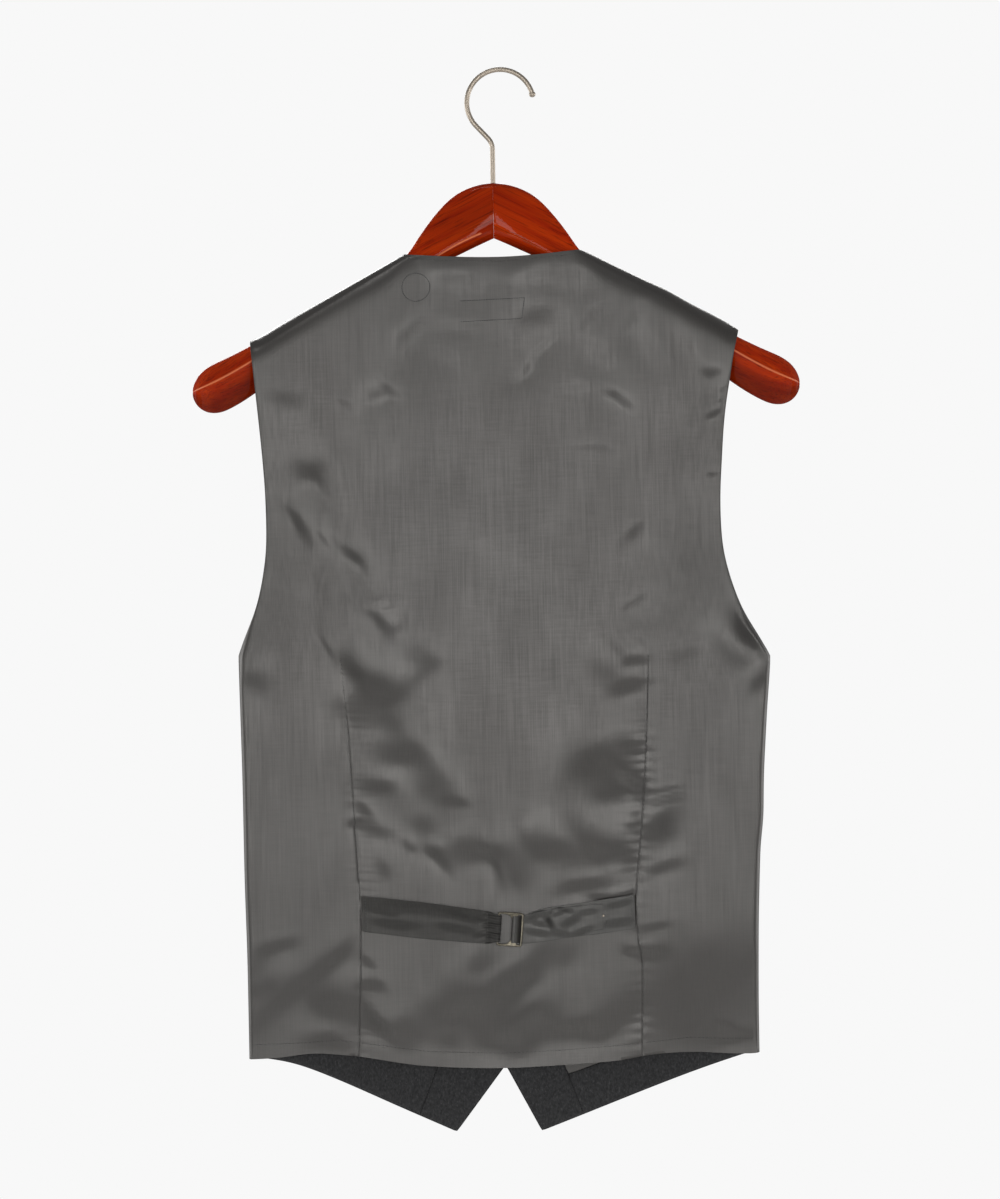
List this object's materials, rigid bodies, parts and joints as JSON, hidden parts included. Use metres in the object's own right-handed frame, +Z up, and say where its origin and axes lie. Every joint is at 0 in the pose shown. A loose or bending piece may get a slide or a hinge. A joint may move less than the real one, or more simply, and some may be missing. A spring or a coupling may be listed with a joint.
{
  "type": "suit waistcoat on a wooden hanger",
  "caption": "Buttoned charcoal wool suit waistcoat with a grey satin back and a buckled back strap, hanging on a contoured wooden hanger with a wire hook.",
  "frame": {"origin": "inner top of the hook's arc, where a rail carries the hanger", "axes": "+Z up; the satin back faces -Y and the buttoned fronts face +Y; +X is the wearer's right"},
  "size_m": [0.4464, 0.0605, 0.7792],
  "materials": {
    "satin": "smooth satin lining cloth, soft sheen",
    "wool": "matte worsted wool",
    "cherry_wood": "glossy red-brown lacquer",
    "nickel": "satin nickel",
    "antique_brass": "darkened, bright at the edges",
    "button_resin": "semi-gloss dark horn"
  },
  "bodies": {
    "root": {"back": "satin", "lining_left": "satin", "lining_right": "satin", "strap_left": "satin", "strap_right": "satin", "front_left": "wool", "front_right": "wool", "facing_left": "wool", "facing_right": "wool", "hem_facing_left": "wool", "hem_facing_right": "wool", "hanger_arm_left": "cherry_wood", "hanger_arm_right": "cherry_wood", "hanger_hook": "nickel", "buckle": "antique_brass", "button_1": "button_resin", "button_2": "button_resin", "button_3": "button_resin", "button_4": "button_resin", "button_5": "button_resin"}
  },
  "joints": []
}
